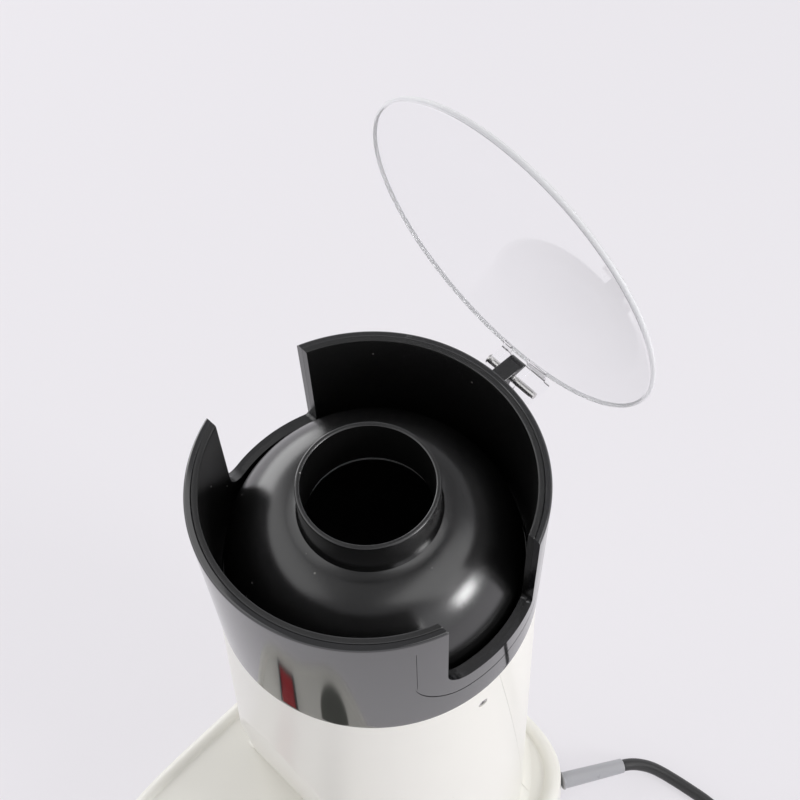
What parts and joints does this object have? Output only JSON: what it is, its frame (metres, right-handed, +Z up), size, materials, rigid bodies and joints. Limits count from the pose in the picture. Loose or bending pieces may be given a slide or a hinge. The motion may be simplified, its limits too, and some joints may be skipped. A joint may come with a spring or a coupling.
{
  "type": "popcorn maker",
  "caption": "Tall round hot-air popcorn maker on a long rounded tray, with a black notched top collar, a funnel neck, a hinged clear lid, a rocker switch and a mains cord.",
  "frame": {"origin": "middle of the footprint, on the table the feet stand on, without the cord", "axes": "+Z up, -Y towards the switch at the front, +Y towards the lid hinge and the rear, +X towards the right-hand pouring notch"},
  "size_m": [0.3635, 0.2952, 0.4185],
  "materials": {
    "ivory_plastic": "semi-gloss moulded",
    "black_rubber": "matt",
    "grey_rubber": "matt",
    "olive_rubber": "matt",
    "screw_steel": "plated",
    "black_gloss": "high gloss",
    "black_satin": "satin",
    "clear_plastic": "clear",
    "chamber_aluminium": "dark satin",
    "duct_aluminium": "mill",
    "mica": "matt",
    "heater_wire": "oxidised",
    "cutout_brass": "plain",
    "motor_steel": "satin",
    "board": "satin",
    "red_plastic": "gloss",
    "cord_black": "satin",
    "plug_brass": "nickelled"
  },
  "bodies": {
    "popper": {"tray": "ivory_plastic", "bottom_plate": "ivory_plastic", "feet": "black_rubber", "base_screws": "screw_steel", "front_shell": "ivory_plastic", "rear_shell": "ivory_plastic", "shell_screws": "screw_steel", "top_collar": "black_gloss", "funnel": "black_satin", "chamber_gasket": "grey_rubber", "popping_chamber": "chamber_aluminium", "heater_duct": "duct_aluminium", "mica_frame": "mica", "heater_coil": "heater_wire", "thermal_cutout": "cutout_brass", "motor_bracket": "black_satin", "motor": "motor_steel", "rectifier_board": "board", "switch_frame": "black_gloss", "cup_pad": "olive_rubber", "strain_relief": "cord_black", "cord_tube": "cord_black", "cord_coil": "cord_black", "cord_tie": "black_satin", "plug_body": "cord_black", "plug_pins": "plug_brass"},
    "lid": {"lid": "clear_plastic", "hinge_pin": "screw_steel"},
    "rocker": {"rocker": "red_plastic"},
    "fan": {"fan": "black_satin", "motor_shaft": "screw_steel"}
  },
  "joints": [
    {"name": "lid_hinge", "type": "hinge", "parent": "popper", "child": "lid", "pos_m": [0.00339, 0.10789, 0.295], "axis": [0.9986, -0.0523, 0], "range_deg": [-15, 81]},
    {"name": "rocker_pivot", "type": "hinge", "parent": "popper", "child": "rocker", "pos_m": [-0.029, -0.08782, 0.0246], "axis": [-1, 0, 0], "range_deg": [0, 14]},
    {"name": "fan_spin", "type": "hinge", "parent": "popper", "child": "fan", "pos_m": [0, 0.04318, 0.07], "axis": [0, 0, 1], "continuous": true}
  ]
}
